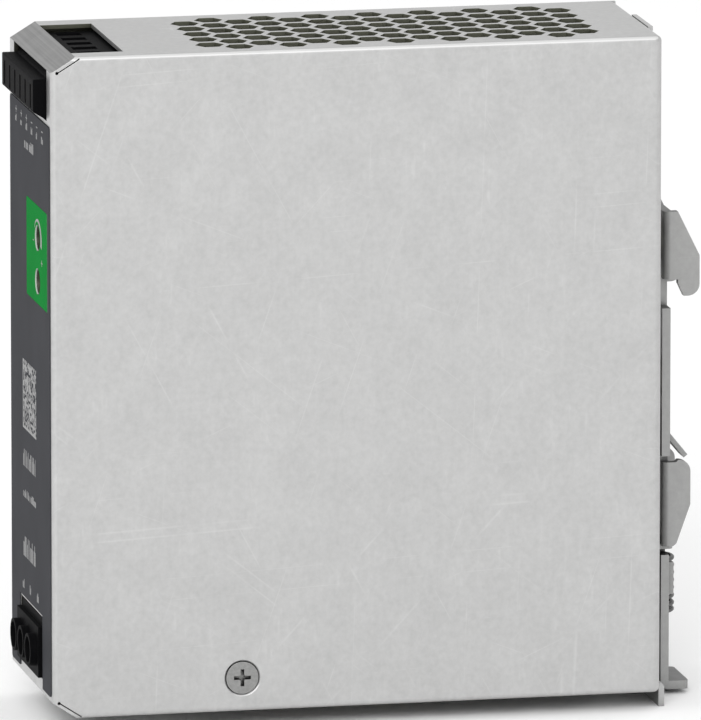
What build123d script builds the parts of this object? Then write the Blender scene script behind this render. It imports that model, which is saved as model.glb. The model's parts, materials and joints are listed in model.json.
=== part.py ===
from build123d import *
import os
from math import cos, radians, sin

# DIN rail power supply: sheet metal case, terminal blocks, boards and the sprung rail clip.
# Origin: middle of the 35 mm rail, on the rail's front face. +X right, +Y towards the wall, +Z up.
# Inside this file a place is given as (x, depth behind the front face, height above the bottom).

# ---------------------------------------------------------------- driving dimensions (mm)
WIDTH = 40.0
HEIGHT = 124.0
DEPTH = 115.15
SHEET = 0.8
HALF = WIDTH / 2
CHAMFER_DEPTH = 4.7
TOP_CHAMFER = 2.85
BOTTOM_CHAMFER = 3.1
BEND_R = 1.0
BACK_BEND_R = 1.3

RAIL_HEIGHT = 35.0
SEAT_HEIGHT = 75.85
PLATE = 1.6
PLATE_BACK = DEPTH + 4.75
PLATE_FRONT = PLATE_BACK - PLATE
HOOK_HALF = 8.1
PLATE_HALF = 6.8

FRONT = -PLATE_BACK
BOTTOM = -(SEAT_HEIGHT - RAIL_HEIGHT / 2)

VENT_PITCH = 5.84
VENT_WEB = 1.1
VENT_FIRST = 31.4

OUTPUT_POLES = 6
OUTPUT_PITCH = 5.08
OUTPUT_TOP = 119.3
INPUT_PITCH = 7.0
INPUT_AXIS = 10.7

FILM = 0.25
TRIM_X = 7.85
TRIM_Z = 88.3
LED_Z = 80.15
WINDOW_X = (-2.9, 17.2)
WINDOW_Z = (76.0, 94.4)

BOARD_X = -13.8
BOARD = 1.6
SIDE_SCREW_Y = 35.75
SIDE_SCREW_Z = 6.33

RUNNING = 0.05


# ---------------------------------------------------------------- planes and repeated shapes
def plan(height):
    """Level plane: local x is X, local y is depth."""
    return Plane(origin=(0, FRONT, BOTTOM + height), x_dir=(1, 0, 0), z_dir=(0, 0, 1))


def elevation(depth):
    """Upright plane across the unit: local x is X, local y is height, normal to the front."""
    return Plane(origin=(0, FRONT + depth, BOTTOM), x_dir=(1, 0, 0), z_dir=(0, -1, 0))


def side(x):
    """Upright plane along the unit: local x is depth, local y is height, normal +X."""
    return Plane(origin=(x, FRONT, BOTTOM), x_dir=(0, 1, 0), z_dir=(1, 0, 0))


def middle(span):
    return (span[0] + span[1]) / 2


def box(xs, ys, zs, mode=Mode.ADD, corner=0.0):
    """Block between two values on each axis, with rounded upright edges if asked."""
    with BuildSketch(plan(zs[0])) as footprint:
        with Locations((middle(xs), middle(ys))):
            if corner:
                RectangleRounded(xs[1] - xs[0], ys[1] - ys[0], corner)
            else:
                Rectangle(xs[1] - xs[0], ys[1] - ys[0])
    extrude(footprint.sketch, amount=zs[1] - zs[0], mode=mode)


def rod_x(y, z, radius, xs, mode=Mode.ADD):
    with BuildSketch(side(xs[0])) as disc:
        with Locations((y, z)):
            Circle(radius)
    extrude(disc.sketch, amount=xs[1] - xs[0], mode=mode)


def rod_y(x, z, radius, ys, mode=Mode.ADD):
    with BuildSketch(elevation(ys[1])) as disc:
        with Locations((x, z)):
            Circle(radius)
    extrude(disc.sketch, amount=ys[1] - ys[0], mode=mode)


def rod_z(x, y, radius, zs, mode=Mode.ADD):
    with BuildSketch(plan(zs[0])) as disc:
        with Locations((x, y)):
            Circle(radius)
    extrude(disc.sketch, amount=zs[1] - zs[0], mode=mode)


def side_profile(points, xs, mode=Mode.ADD, rounded=()):
    """Plate cut to an outline of (depth, height) points; rounded gives (corner, radius) pairs."""
    with BuildSketch(side(xs[0])) as outline:
        with BuildLine():
            Polyline(*points, close=True)
        make_face()
        for corner, radius in rounded:
            fillet(outline.vertices().sort_by_distance(corner)[0], radius)
    extrude(outline.sketch, amount=xs[1] - xs[0], mode=mode)


def case_prism(xs, inset=0.0, mode=Mode.ADD):
    """Solid with the side outline of the case, moved inwards by inset."""
    with BuildSketch(side(xs[0])) as outline:
        with BuildLine():
            Polyline(
                (0, BOTTOM_CHAMFER),
                (CHAMFER_DEPTH, 0),
                (DEPTH, 0),
                (DEPTH, HEIGHT),
                (CHAMFER_DEPTH, HEIGHT),
                (0, HEIGHT - TOP_CHAMFER),
                close=True,
            )
        make_face()
        if inset:
            offset(amount=-inset, kind=Kind.INTERSECTION)
    extrude(outline.sketch, amount=xs[1] - xs[0], mode=mode)


def honeycomb(height, depth):
    """Hexagonal vent holes cut down through one sheet."""
    row_step = VENT_PITCH / 2
    hole_step = VENT_PITCH * 3**0.5
    hole_r = (VENT_PITCH - VENT_WEB) / 3**0.5
    centres = []
    for row in range(-5, 6):
        long_row = row % 2 == 0
        count = 8 if long_row else 7
        start = VENT_FIRST if long_row else VENT_FIRST + hole_step / 2
        centres += [(row * row_step, start + hole_step * k) for k in range(count)]
    with BuildSketch(plan(height)) as holes:
        with Locations(*centres):
            RegularPolygon(hole_r, 6, rotation=90)
    extrude(holes.sketch, amount=-depth, mode=Mode.SUBTRACT)


# ---------------------------------------------------------------- case
COVER_X = -HALF + SHEET
TOP_OPENING_X = 15.4
TOP_OPENING_Y = (CHAMFER_DEPTH, 14.5)
FRONT_OPENING_X = 16.0
FRONT_OPENING_Z = (111.6, HEIGHT - TOP_CHAMFER)
INPUT_OPENING_X = 10.8
INPUT_OPENING_Z = (5.65, 17.4)
DIMPLE_R = 3.45
DIMPLE_DEPTH = 1.85
SLIT = 0.2
HOLE_R = 2.35
SLIT_INSET = 0.66
SLIT_X = (HALF - BEND_R - SHEET, HALF + 0.1)
FLAP_HALF = 16.5
FLAP_SHEET = 1.1
FLAP_BACK = DEPTH + 1.55
FLAP_LOW = -3.4
BRACKET_SCREW_ZS = (82.0, 56.0)
RIVETS = ((-4.2, 17.0), (4.2, 17.0))
RIVET_R = 0.9


def bend_edges(part):
    """Edges of the right-hand side that are folded: front, top and bottom."""
    at_side = part.edges().filter_by_position(Axis.X, HALF - 0.01, HALF + 0.01)
    upright = at_side.filter_by(Axis.Z).sort_by(Axis.Y)
    level = at_side.filter_by(Axis.Y)
    return upright, level


def chamfer_slit(corner, end, rise):
    """Slit between a chamfer strip and the side panel, with its relief hole at the front."""
    run = Vector(end[0] - corner[0], end[1] - corner[1]).normalized()
    inward = Vector(-run.Y, run.X) * rise
    first = Vector(*corner) + run * 1.1 + inward * SLIT_INSET
    last = Vector(*end) + run * 0.5 + inward * SLIT_INSET
    across = inward * (SLIT / 2)
    corners = (first + across, last + across, last - across, first - across)
    side_profile([(p.X, p.Y) for p in corners], SLIT_X, Mode.SUBTRACT)
    rod_x(first.X - 0.1, first.Y, 0.3, SLIT_X, Mode.SUBTRACT)


with BuildPart() as housing_shell:
    case_prism((COVER_X, HALF))
    upright_edges, level_edges = bend_edges(housing_shell)
    fillet(upright_edges[-1], BACK_BEND_R)
    upright_edges, level_edges = bend_edges(housing_shell)
    fillet([upright_edges[0]] + list(level_edges), BEND_R)
    case_prism((COVER_X, HALF - SHEET), SHEET, Mode.SUBTRACT)
    box((-TOP_OPENING_X, TOP_OPENING_X), TOP_OPENING_Y, (HEIGHT - 2 * SHEET, HEIGHT), Mode.SUBTRACT)
    box((-FRONT_OPENING_X, FRONT_OPENING_X), (0, SHEET), FRONT_OPENING_Z, Mode.SUBTRACT)
    box((-INPUT_OPENING_X, INPUT_OPENING_X), (0, SHEET), INPUT_OPENING_Z, Mode.SUBTRACT)
    box((-INPUT_OPENING_X, INPUT_OPENING_X), (5.4, 13.6), (0, SHEET), Mode.SUBTRACT)
    honeycomb(HEIGHT, SHEET)
    honeycomb(SHEET, SHEET)
    for hole_z in (TRIM_Z, LED_Z):
        rod_y(TRIM_X, hole_z, HOLE_R, (0, SHEET), Mode.SUBTRACT)
    rod_x(SIDE_SCREW_Y, SIDE_SCREW_Z, DIMPLE_R + 0.5, (HALF - SHEET - DIMPLE_DEPTH + 0.3, HALF - SHEET))
    with BuildSketch(side(HALF)):
        with Locations((SIDE_SCREW_Y, SIDE_SCREW_Z)):
            Circle(DIMPLE_R)
    extrude(amount=-DIMPLE_DEPTH, taper=45, mode=Mode.SUBTRACT)
    rod_x(SIDE_SCREW_Y, SIDE_SCREW_Z, 1.6, (HALF - 5, HALF), Mode.SUBTRACT)
    chamfer_slit((0, HEIGHT - TOP_CHAMFER), (CHAMFER_DEPTH, HEIGHT), -1)
    chamfer_slit((0, BOTTOM_CHAMFER), (CHAMFER_DEPTH, 0), 1)
    box((-4.4, 9.2), (DEPTH - 0.3, DEPTH + 0.6), (HEIGHT - SHEET, HEIGHT))
    for screw_z in BRACKET_SCREW_ZS:
        rod_y(0, screw_z, 1.7, (DEPTH - SHEET, DEPTH), Mode.SUBTRACT)
    for rivet_x, rivet_z in RIVETS:
        rod_y(rivet_x, rivet_z, RIVET_R, (DEPTH - SHEET, DEPTH), Mode.SUBTRACT)
    with BuildSketch(side(-FLAP_HALF)):
        with BuildLine():
            Polyline(
                (DEPTH - 0.5, 0),
                (FLAP_BACK - FLAP_SHEET, 0),
                (FLAP_BACK - FLAP_SHEET, FLAP_LOW),
                (FLAP_BACK, FLAP_LOW),
                (FLAP_BACK, FLAP_SHEET),
                (DEPTH - 0.5, FLAP_SHEET),
                close=True,
            )
        make_face()
        fillet(vertices().sort_by_distance((FLAP_BACK, FLAP_SHEET))[0], 0.95)
    extrude(amount=2 * FLAP_HALF)


COVER_SCREWS = ((24.0, 14.0), (102.0, 14.0), (24.0, 110.0), (102.0, 110.0))
COVER_INSET = 0.12
TAB_LENGTH = 9.0
TAB_DEPTHS = ((17.0, 26.5), (106.5, 112.0))
TAB_LEVELS = (SHEET + COVER_INSET, HEIGHT - 2 * SHEET - COVER_INSET)

with BuildPart() as side_cover:
    case_prism((-HALF, COVER_X))
    for tab_y in TAB_DEPTHS:
        for level in TAB_LEVELS:
            box((COVER_X, COVER_X + TAB_LENGTH), tab_y, (level, level + SHEET))
    for screw_y, screw_z in COVER_SCREWS:
        with BuildSketch(side(-HALF)) as sink:
            with Locations((screw_y, screw_z)):
                Circle(2.9)
        extrude(sink.sketch, amount=SHEET, taper=45, mode=Mode.SUBTRACT)
        rod_x(screw_y, screw_z, 1.7, (-HALF, COVER_X), Mode.SUBTRACT)

with BuildPart() as cover_screws:
    for screw_y, screw_z in COVER_SCREWS:
        with BuildSketch(side(-HALF)) as head:
            with Locations((screw_y, screw_z)):
                Circle(2.8)
        extrude(head.sketch, amount=SHEET, taper=45)
        rod_x(screw_y, screw_z, 1.45, (-HALF + 0.5, COVER_X + 2.6))
        for turn in (0, 90):
            with BuildSketch(side(-HALF)) as cross:
                with Locations((screw_y, screw_z)):
                    Rectangle(2.8, 0.6, rotation=turn)
            extrude(cross.sketch, amount=0.9, taper=8, mode=Mode.SUBTRACT)

with BuildPart() as side_screw:
    with BuildSketch(side(HALF - 0.12)) as head:
        with Locations((SIDE_SCREW_Y, SIDE_SCREW_Z)):
            Circle(3.05)
    extrude(head.sketch, amount=-1.6, taper=45)
    rod_x(SIDE_SCREW_Y, SIDE_SCREW_Z, 1.45, (HALF - 6.0, HALF - 1.2))
    with BuildSketch(side(HALF - 0.12)) as centre:
        with Locations((SIDE_SCREW_Y, SIDE_SCREW_Z)):
            Rectangle(1.25, 1.25, rotation=45)
    extrude(centre.sketch, amount=-1.15, taper=6, mode=Mode.SUBTRACT)
    for turn in (0, 90):
        with BuildSketch(side(HALF - 0.12)) as cross:
            with Locations((SIDE_SCREW_Y, SIDE_SCREW_Z)):
                Rectangle(3.2, 0.7, rotation=turn)
        extrude(cross.sketch, amount=-1.0, taper=8, mode=Mode.SUBTRACT)

TIE_RIGHT = HALF - 3.6
with BuildPart() as tie_bracket:
    tie_y = (SIDE_SCREW_Y - 4.5, SIDE_SCREW_Y + 4.5)
    box((COVER_X + 1.9, TIE_RIGHT), tie_y, (1.9, 2.9))
    box((TIE_RIGHT - 1.0, TIE_RIGHT), tie_y, (1.9, 11.0))
    box((COVER_X + 1.9, COVER_X + 2.9), tie_y, (1.9, 11.0))
    rod_x(SIDE_SCREW_Y, SIDE_SCREW_Z, 1.5, (0, HALF), Mode.SUBTRACT)

LINER_Y = (3.0, DEPTH - 3.0)
LINER_Z = (14.0, HEIGHT - 3.0)
LINER_X = (HALF - SHEET - 0.6, HALF - SHEET - 0.2)
COVER_LINER_X = (COVER_X + 0.15, COVER_X + 0.5)
COVER_LINER_Z = (2.4, HEIGHT - 3.0)
STANDOFF_R = 3.0

with BuildPart() as insulating_sheet:
    box(LINER_X, LINER_Y, LINER_Z)

with BuildPart() as cover_liner:
    box(COVER_LINER_X, LINER_Y, COVER_LINER_Z)
    for screw_y, screw_z in COVER_SCREWS:
        rod_x(screw_y, screw_z, STANDOFF_R + 0.3, COVER_LINER_X, Mode.SUBTRACT)

# ---------------------------------------------------------------- front labels
LABEL_HALF = 19.0
LABEL_Z = (4.0, 110.9)
LABEL_NOTCH = (11.2, 17.9)

with BuildPart() as front_label:
    with BuildSketch(elevation(0)) as film:
        with Locations((0, middle(LABEL_Z))):
            RectangleRounded(2 * LABEL_HALF, LABEL_Z[1] - LABEL_Z[0], 0.8)
        with Locations((0, LABEL_NOTCH[1] / 2)):
            Rectangle(2 * LABEL_NOTCH[0], LABEL_NOTCH[1], mode=Mode.SUBTRACT)
        with Locations((middle(WINDOW_X), middle(WINDOW_Z))):
            RectangleRounded(
                WINDOW_X[1] - WINDOW_X[0] + 0.1, WINDOW_Z[1] - WINDOW_Z[0] + 0.1, 0.55, mode=Mode.SUBTRACT
            )
    extrude(film.sketch, amount=FILM)

with BuildPart() as adjustment_label:
    with BuildSketch(elevation(0)) as film:
        with Locations((middle(WINDOW_X), middle(WINDOW_Z))):
            RectangleRounded(WINDOW_X[1] - WINDOW_X[0], WINDOW_Z[1] - WINDOW_Z[0], 0.5)
        with Locations((TRIM_X, TRIM_Z), (TRIM_X, LED_Z)):
            Circle(HOLE_R + 0.12, mode=Mode.SUBTRACT)
    extrude(film.sketch, amount=FILM)

# ---------------------------------------------------------------- output terminals (top)
CHAMBER_HALF = 1.8
CHAMBER_Y = (5.0, 11.9)
CHAMBER_Z = (110.2, OUTPUT_TOP)
RELEASE_HALF = 1.35
RELEASE_Y = (7.4, 12.0)
ROOF_Z = (119.4, 122.6)
ROOF_BACK = 16.6
ENTRY_HALF = 0.55
ENTRY_Z = (113.7, 118.1)
PIN_Z = (109.4, 110.2)
OUTPUT_XS = [(pole - (OUTPUT_POLES - 1) / 2) * OUTPUT_PITCH for pole in range(OUTPUT_POLES)]

with BuildPart() as output_terminal_block:
    side_profile(
        [
            (-2.4, OUTPUT_TOP),
            (-2.4, 113.25),
            (-0.2, 111.9),
            (1.0, 111.9),
            (1.0, 107.5),
            (13.4, 107.5),
            (13.4, ROOF_Z[0]),
            (ROOF_BACK, ROOF_Z[0]),
            (ROOF_BACK, ROOF_Z[1]),
            (5.2, ROOF_Z[1]),
            (0.3, OUTPUT_TOP),
        ],
        (-15.2, 15.2),
    )
    front_edges = output_terminal_block.edges().filter_by(Axis.X).group_by(Axis.Y)[0]
    fillet(front_edges, 0.25)
    for pole_x in OUTPUT_XS:
        box((pole_x - CHAMBER_HALF, pole_x + CHAMBER_HALF), CHAMBER_Y, CHAMBER_Z, Mode.SUBTRACT)
        box((pole_x - RELEASE_HALF, pole_x + RELEASE_HALF), RELEASE_Y, (119.0, ROOF_Z[1]), Mode.SUBTRACT)
        box((pole_x - ENTRY_HALF, pole_x + ENTRY_HALF), (-2.4, CHAMBER_Y[0]), ENTRY_Z, Mode.SUBTRACT)
        pin_slot_y = (CHAMBER_Y[1] - 1.3, 13.4)
        pin_slot_z = (PIN_Z[0] - 0.1, CHAMBER_Z[0])
        box((pole_x - ENTRY_HALF, pole_x + ENTRY_HALF), pin_slot_y, pin_slot_z, Mode.SUBTRACT)

with BuildPart() as output_clamps:
    leaf_y = CHAMBER_Y[0]
    for pole_x in OUTPUT_XS:
        side_profile(
            [
                (leaf_y + 0.1, 117.4),
                (leaf_y + 0.1, 110.4),
                (leaf_y + 5.5, 110.4),
                (leaf_y + 5.5, 110.8),
                (leaf_y + 0.5, 110.8),
                (leaf_y + 0.5, 117.0),
                (leaf_y + 4.9, 112.6),
                (leaf_y + 5.2, 112.9),
                (leaf_y + 0.7, 117.4),
            ],
            (pole_x - 1.5, pole_x + 1.5),
        )

with BuildPart() as output_contacts:
    bar_y = (CHAMBER_Y[1] - 1.2, CHAMBER_Y[1] - 0.5)
    for pole_x in OUTPUT_XS:
        box((pole_x - 1.5, pole_x + 1.5), bar_y, (110.3, 116.5))
        box((pole_x - 0.5, pole_x + 0.5), (bar_y[0], 18.2), PIN_Z)
        box((pole_x - 0.5, pole_x + 0.5), bar_y, (PIN_Z[0], 110.4))

with BuildPart() as output_board:
    box((-15.4, 16.6), (13.6, 15.2), (98.0, 118.5))
    for pole_x in OUTPUT_XS:
        box((pole_x - 0.6, pole_x + 0.6), (13.6, 15.2), (109.3, 110.3), Mode.SUBTRACT)

# ---------------------------------------------------------------- input terminals (bottom)
INPUT_XS = (-INPUT_PITCH, 0.0, INPUT_PITCH)
INPUT_HALF = 10.4
INPUT_Z = (5.95, 17.1)
INPUT_FACE = 0.1
COLLAR_R = 3.05
COLLAR_FRONT = -2.3
WIRE_ROOM_Y = (2.5, 11.4)
WIRE_ROOM_TOP = 14.6
PLINTH = (-0.9, 15.5)
SCREW_R = 1.5
THREAD_PITCH = 0.7
CAGE_Y = (5.3, 10.9)
CAGE_Z = (8.0, 13.4)
CAGE_HALF = 2.5
CAGE_WALL = 0.8
BAR_Y = (6.5, 7.3)

with BuildPart() as input_terminal_block:
    box((-INPUT_HALF, INPUT_HALF), (INPUT_FACE, 12.8), INPUT_Z)
    box((-INPUT_HALF, INPUT_HALF), (PLINTH[0], INPUT_FACE), (INPUT_Z[0], PLINTH[1]))
    for pole_x in INPUT_XS:
        rod_y(pole_x, INPUT_AXIS, COLLAR_R, (COLLAR_FRONT, PLINTH[0]))
        rod_y(pole_x, INPUT_AXIS, 2.45, (COLLAR_FRONT, 1.7), Mode.SUBTRACT)
        rod_y(pole_x, INPUT_AXIS, SCREW_R + RUNNING, (1.7, 2.5), Mode.SUBTRACT)
        box((pole_x - 2.8, pole_x + 2.8), WIRE_ROOM_Y, (INPUT_Z[0], WIRE_ROOM_TOP), Mode.SUBTRACT)
        box((pole_x - 0.65, pole_x + 0.65), (11.0, 12.8), (15.3, 16.3), Mode.SUBTRACT)
        box((pole_x - 1.65, pole_x + 1.65), (BAR_Y[0] - 0.05, BAR_Y[1] + 0.05), (14.0, 16.35), Mode.SUBTRACT)
        box((pole_x - 0.65, pole_x + 0.65), (7.0, 12.8), (15.3, 16.3), Mode.SUBTRACT)


def input_screw(pole_x):
    """Clamping screw behind a collar: slotted head, and a shank that the cage runs along."""
    with BuildPart() as screw:
        rod_y(pole_x, INPUT_AXIS, 2.35, (0.2, 1.65))
        rod_y(pole_x, INPUT_AXIS, SCREW_R, (1.6, 6.3))
        with BuildSketch(elevation(1.0)) as slot:
            with Locations((pole_x, INPUT_AXIS)):
                Rectangle(5.0, 0.7, rotation=20 + 35 * pole_x / INPUT_PITCH)
        extrude(slot.sketch, amount=1.0, mode=Mode.SUBTRACT)
    return screw


def input_cage(pole_x):
    """Ring that the screw draws forwards, to press the wire against the contact bar."""
    inner = CAGE_HALF - CAGE_WALL
    with BuildPart() as cage:
        box((pole_x - CAGE_HALF, pole_x + CAGE_HALF), CAGE_Y, CAGE_Z)
        inner_y = (CAGE_Y[0] + CAGE_WALL, CAGE_Y[1] - CAGE_WALL)
        box((pole_x - inner, pole_x + inner), inner_y, CAGE_Z, Mode.SUBTRACT)
        rod_y(pole_x, INPUT_AXIS, SCREW_R + RUNNING, (CAGE_Y[0], CAGE_Y[0] + CAGE_WALL), Mode.SUBTRACT)
    return cage


input_screws = [input_screw(pole_x) for pole_x in INPUT_XS]
input_cages = [input_cage(pole_x) for pole_x in INPUT_XS]

with BuildPart() as input_contacts:
    for pole_x in INPUT_XS:
        box((pole_x - 1.6, pole_x + 1.6), BAR_Y, (7.0, 16.3))
        box((pole_x - 0.6, pole_x + 0.6), (7.1, 17.0), (15.4, 16.2))

with BuildPart() as input_board:
    box((-15.4, 14.0), (13.0, 14.6), (4.5, 32.0))
    for pole_x in INPUT_XS:
        box((pole_x - 0.7, pole_x + 0.7), (13.0, 14.6), (15.3, 16.3), Mode.SUBTRACT)

# ---------------------------------------------------------------- adjuster and status lamp
TRIM_HALF = 3.2
ROTOR_R = 2.0
ROTOR_Y = (0.9, 3.9)

with BuildPart() as trimmer_body:
    box((TRIM_X - TRIM_HALF, TRIM_X + TRIM_HALF), (1.6, 6.4), (TRIM_Z - TRIM_HALF, TRIM_Z + TRIM_HALF))
    rod_y(TRIM_X, TRIM_Z, ROTOR_R + RUNNING, (1.6, 4.1), Mode.SUBTRACT)
    for pin_x in (-2.0, 2.0):
        box((TRIM_X + pin_x - 0.25, TRIM_X + pin_x + 0.25), (6.4, 8.6), (TRIM_Z - 0.25, TRIM_Z + 0.25))

with BuildPart() as trimmer_rotor:
    rod_y(TRIM_X, TRIM_Z, ROTOR_R, ROTOR_Y)
    with BuildSketch(elevation(ROTOR_Y[0] + 0.8)) as slot:
        with Locations((TRIM_X, TRIM_Z)):
            Rectangle(3.2, 0.6, rotation=30)
            Rectangle(0.6, 3.2, rotation=30)
    extrude(slot.sketch, amount=0.8, mode=Mode.SUBTRACT)

with BuildPart() as status_lamp:
    rod_y(TRIM_X, LED_Z, 1.9, (4.4, 5.4))
    rod_y(TRIM_X, LED_Z, 1.5, (1.4, 4.4))
    fillet(status_lamp.edges().group_by(Axis.Y)[0], 1.3)
    for pin_x in (-1.27, 1.27):
        box((TRIM_X + pin_x - 0.25, TRIM_X + pin_x + 0.25), (5.4, 8.6), (LED_Z - 0.25, LED_Z + 0.25))

with BuildPart() as control_board:
    box((-15.4, 14.0), (6.5, 8.1), (74.0, 94.5))
    for pin_x, pin_z in ((-2.0, TRIM_Z), (2.0, TRIM_Z), (-1.27, LED_Z), (1.27, LED_Z)):
        pin = TRIM_X + pin_x
        box((pin - 0.3, pin + 0.3), (6.5, 8.1), (pin_z - 0.3, pin_z + 0.3), Mode.SUBTRACT)

# ---------------------------------------------------------------- main board and its components
BOARD_BACK = BOARD_X - BOARD
BOARD_Y = (15.4, DEPTH - 4)
BOARD_Z = (5.0, 113.5)
SINK_FACE = 100.2
SHELF_TOP = 86.0
LEG_X = (BOARD_X, BOARD_X + 1.4)

with BuildPart() as main_board:
    box((BOARD_BACK, BOARD_X), BOARD_Y, BOARD_Z)
    for screw_y, screw_z in COVER_SCREWS:
        rod_x(screw_y, screw_z, 1.7, (BOARD_BACK, BOARD_X), Mode.SUBTRACT)

with BuildPart() as board_standoffs:
    for screw_y, screw_z in COVER_SCREWS:
        with BuildSketch(side(COVER_X)) as hexagon:
            with Locations((screw_y, screw_z)):
                RegularPolygon(STANDOFF_R, 6)
                Circle(1.45, mode=Mode.SUBTRACT)
        extrude(hexagon.sketch, amount=BOARD_BACK - COVER_X)

with BuildPart() as board_screws:
    for screw_y, screw_z in COVER_SCREWS:
        rod_x(screw_y, screw_z, 1.45, (BOARD_BACK - 0.9, BOARD_X))
        rod_x(screw_y, screw_z, 2.7, (BOARD_X, BOARD_X + 1.8))

CHOKE_X = (-12.6, 6.4)
CHOKE_Y = (30.0, 52.0)
CHOKE_Z = (5.0, 27.0)
CHOKE_LEG = 6.0
COIL_Y = (CHOKE_Y[0] + CHOKE_LEG + 0.4, CHOKE_Y[1] - CHOKE_LEG - 0.4)

with BuildPart() as choke_core:
    box(CHOKE_X, CHOKE_Y, CHOKE_Z)
    window_y = (CHOKE_Y[0] + CHOKE_LEG, CHOKE_Y[1] - CHOKE_LEG)
    window_z = (CHOKE_Z[0] + CHOKE_LEG, CHOKE_Z[1] - CHOKE_LEG)
    box(CHOKE_X, window_y, window_z, Mode.SUBTRACT)

with BuildPart() as choke_windings:
    for leg_z in (CHOKE_Z[0] + CHOKE_LEG / 2, CHOKE_Z[1] - CHOKE_LEG / 2):
        box((CHOKE_X[0] - 1.0, CHOKE_X[1] + 1.0), COIL_Y, (leg_z - 4.2, leg_z + 4.2))
        box(CHOKE_X, COIL_Y, (leg_z - CHOKE_LEG / 2, leg_z + CHOKE_LEG / 2), Mode.SUBTRACT)

with BuildPart() as line_capacitor:
    box((BOARD_X, 1.5), (56, 74), (6, 22))
    fillet(line_capacitor.edges().group_by(Axis.X)[-1], 1.0)

DISC_X = -7.3
DISC_Z = 14.0
with BuildPart() as safety_capacitors:
    for disc_y in (79.0, 86.0):
        rod_y(DISC_X, DISC_Z, 4.6, (disc_y, disc_y + 3.4))
        for leg_z in (DISC_Z - 2.6, DISC_Z + 2.6):
            box((BOARD_X, DISC_X), (disc_y + 1.2, disc_y + 2.2), (leg_z - 0.4, leg_z + 0.4))

FUSE_X = -9.8
FUSE_Y = 21.0
FUSE_Z = (34.0, 54.0)
CAP_LENGTH = 5.0
with BuildPart() as fuse:
    rod_z(FUSE_X, FUSE_Y, 2.6, FUSE_Z)
    rod_z(FUSE_X, FUSE_Y, 2.9, (FUSE_Z[0], FUSE_Z[0] + CAP_LENGTH))
    rod_z(FUSE_X, FUSE_Y, 2.9, (FUSE_Z[1] - CAP_LENGTH, FUSE_Z[1]))

with BuildPart() as fuse_clips:
    for clip_z in (FUSE_Z[0] + 0.6, FUSE_Z[1] - 4.4):
        clip_span = (clip_z, clip_z + 3.8)
        box((BOARD_X, FUSE_X + 2.4), (FUSE_Y - 3.8, FUSE_Y + 3.8), clip_span)
        rod_z(FUSE_X, FUSE_Y, 2.9, clip_span, Mode.SUBTRACT)
        box((FUSE_X, FUSE_X + 2.4), (FUSE_Y - 2.0, FUSE_Y + 2.0), clip_span, Mode.SUBTRACT)

VARISTOR_X = -6.4
VARISTOR_Z = 70.0
with BuildPart() as varistor:
    rod_y(VARISTOR_X, VARISTOR_Z, 5.8, (18.5, 22.5))
    for leg_z in (VARISTOR_Z - 3.6, VARISTOR_Z + 3.6):
        box((BOARD_X, VARISTOR_X), (20.0, 21.0), (leg_z - 0.4, leg_z + 0.4))

BULK_X = -2.6
BULK_Z = 44.0
with BuildPart() as bulk_capacitor:
    rod_y(BULK_X, BULK_Z, 11.0, (28, 66))
    can_rims = bulk_capacitor.edges().group_by(Axis.Y)
    fillet(can_rims[0] + can_rims[-1], 0.8)
    box((BOARD_X, -12.0), (45.0, 49.0), (BULK_Z - 3.0, BULK_Z + 3.0))

with BuildPart() as bridge_rectifier:
    box((BOARD_X + 2, BOARD_X + 22), (SINK_FACE - 3.6, SINK_FACE), (8, 26))

SINK_X = (-11.6, 15.0)
SINK_Z = (6.5, 72.0)
SINK_BACK = SINK_FACE + 2.4
with BuildPart() as primary_heatsink:
    box(SINK_X, (SINK_FACE, SINK_BACK), SINK_Z)
    for peg_z in (24.0, 60.0):
        box((BOARD_X, SINK_X[0]), (SINK_FACE + 0.4, SINK_BACK - 0.4), (peg_z, peg_z + 2.0))
    for fin in range(4):
        fin_x = 6.0 * (fin - 1)
        box((fin_x, fin_x + 1.2), (SINK_BACK, SINK_BACK + 5.8), SINK_Z)

TRANSISTOR_X = (-9.0, 1.0)
TRANSISTOR_Z = (34.0, 49.0)
CLIP_TOP = 58.0
with BuildPart() as switching_transistor:
    box(TRANSISTOR_X, (SINK_FACE - 4.6, SINK_FACE), TRANSISTOR_Z)
    for pin in (-1, 0, 1):
        pin_z = middle(TRANSISTOR_Z) + 3.0 * pin
        box((BOARD_X, TRANSISTOR_X[0]), (97.4, 98.2), (pin_z - 0.4, pin_z + 0.4))

with BuildPart() as transistor_clip:
    clip_x = (middle(TRANSISTOR_X) - 2.0, middle(TRANSISTOR_X) + 2.0)
    box(clip_x, (SINK_FACE - 5.4, SINK_FACE - 4.6), (40, CLIP_TOP))
    box(clip_x, (SINK_FACE - 5.4, SINK_FACE), (CLIP_TOP, CLIP_TOP + 1.0))

CORE_X = (-11.8, 14.2)
CORE_Y = (68.0, 94.0)
CORE_Z = (36.0, 62.0)
CORE_WINDOW_Y = (73.0, 89.0)
CENTRE_LEG_Z = (43.0, 55.0)
FLANGE_SHEET = 1.4
FLANGE_YS = (73.1, 87.5)
with BuildPart() as transformer_core:
    box(CORE_X, CORE_Y, CORE_Z)
    box(CORE_X, CORE_WINDOW_Y, (CORE_Z[0], CENTRE_LEG_Z[0]), Mode.SUBTRACT)
    box(CORE_X, CORE_WINDOW_Y, (CENTRE_LEG_Z[1], CORE_Z[1]), Mode.SUBTRACT)

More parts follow.
